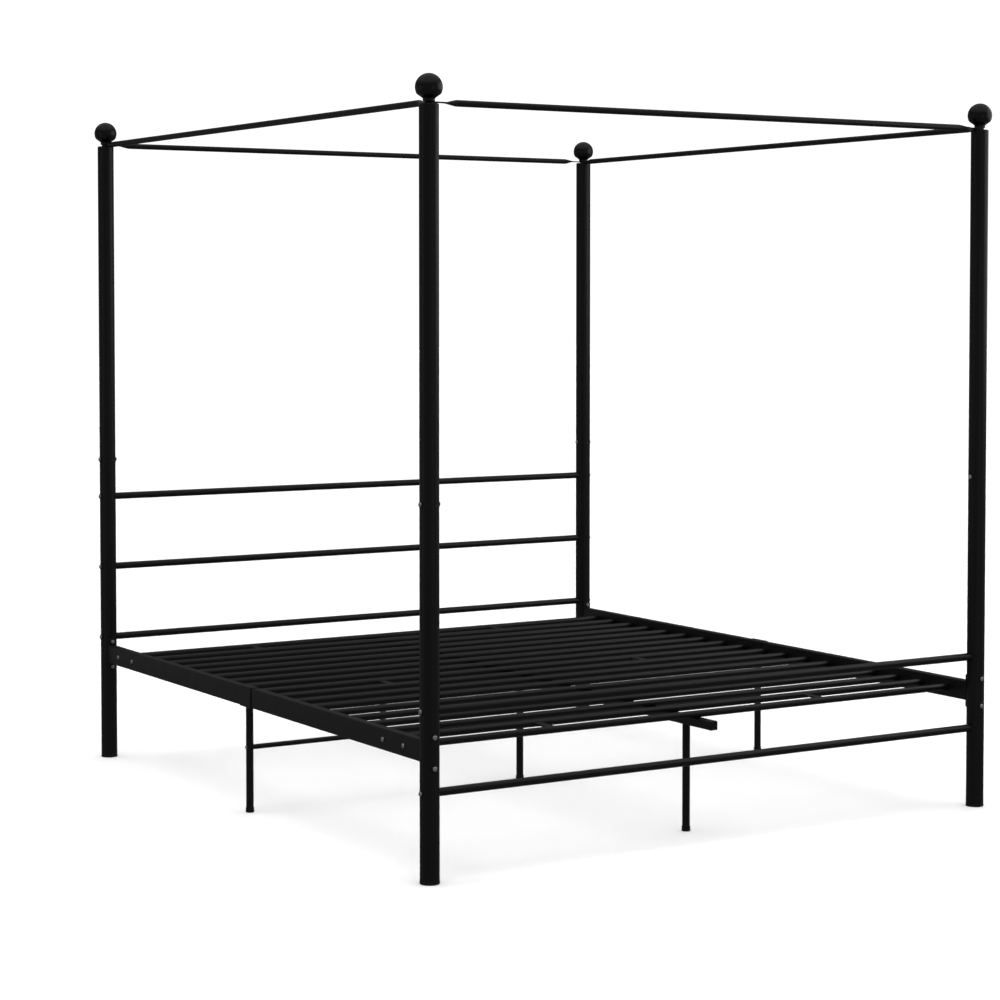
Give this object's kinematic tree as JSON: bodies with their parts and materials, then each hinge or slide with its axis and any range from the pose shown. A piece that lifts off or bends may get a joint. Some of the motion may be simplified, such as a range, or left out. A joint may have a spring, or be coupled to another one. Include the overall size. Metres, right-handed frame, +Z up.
{
  "type": "four poster canopy bed",
  "caption": "Black steel four poster bed frame with ball finials, open canopy rods, barred head and foot ends, round slats and a centre beam on legs.",
  "frame": {"origin": "on the floor under the middle of the bed", "axes": "+Z up, +Y from the foot end to the head end, +X to the right of someone who stands at the foot end and looks at the head end"},
  "size_m": [1.8792, 2.0992, 2.01],
  "materials": {
    "powder_coat": "satin",
    "finial_coat": "satin",
    "glide_plastic": "matte",
    "fastener_steel": "satin"
  },
  "bodies": {
    "root": {"lower_post_foot_left": "powder_coat", "upper_post_foot_left": "powder_coat", "finial_foot_left": "finial_coat", "post_glide_foot_left": "glide_plastic", "lower_post_foot_right": "powder_coat", "upper_post_foot_right": "powder_coat", "finial_foot_right": "finial_coat", "post_glide_foot_right": "glide_plastic", "lower_post_head_left": "powder_coat", "upper_post_head_left": "powder_coat", "finial_head_left": "finial_coat", "post_glide_head_left": "glide_plastic", "lower_post_head_right": "powder_coat", "upper_post_head_right": "powder_coat", "finial_head_right": "finial_coat", "post_glide_head_right": "glide_plastic", "canopy_rod_left": "powder_coat", "canopy_rod_right": "powder_coat", "canopy_rod_foot": "powder_coat", "canopy_rod_head": "powder_coat", "head_bar_top": "powder_coat", "head_bar_middle": "powder_coat", "head_bar_bottom": "powder_coat", "foot_bar_top": "powder_coat", "foot_bar_bottom": "powder_coat", "side_rail_left_foot": "powder_coat", "side_rail_left_head": "powder_coat", "side_rail_right_foot": "powder_coat", "side_rail_right_head": "powder_coat", "rail_sleeve_left": "powder_coat", "rail_sleeve_right": "powder_coat", "centre_beam": "powder_coat", "side_leg_left": "powder_coat", "side_leg_right": "powder_coat", "centre_leg_foot": "powder_coat", "centre_leg_middle": "powder_coat", "centre_leg_head": "powder_coat", "side_leg_left_glide": "glide_plastic", "side_leg_right_glide": "glide_plastic", "centre_leg_foot_glide": "glide_plastic", "centre_leg_middle_glide": "glide_plastic", "centre_leg_head_glide": "glide_plastic", "stretcher_left": "powder_coat", "stretcher_right": "powder_coat", "slat_03": "powder_coat", "slat_04": "powder_coat", "slat_05": "powder_coat", "slat_06": "powder_coat", "slat_07": "powder_coat", "slat_08": "powder_coat", "slat_11": "powder_coat", "slat_12": "powder_coat", "slat_13": "powder_coat", "slat_14": "powder_coat", "slat_15": "powder_coat", "slat_16": "powder_coat", "slat_pair_foot": "powder_coat", "slat_pair_middle": "powder_coat", "slat_pair_head": "powder_coat"}
  },
  "joints": []
}
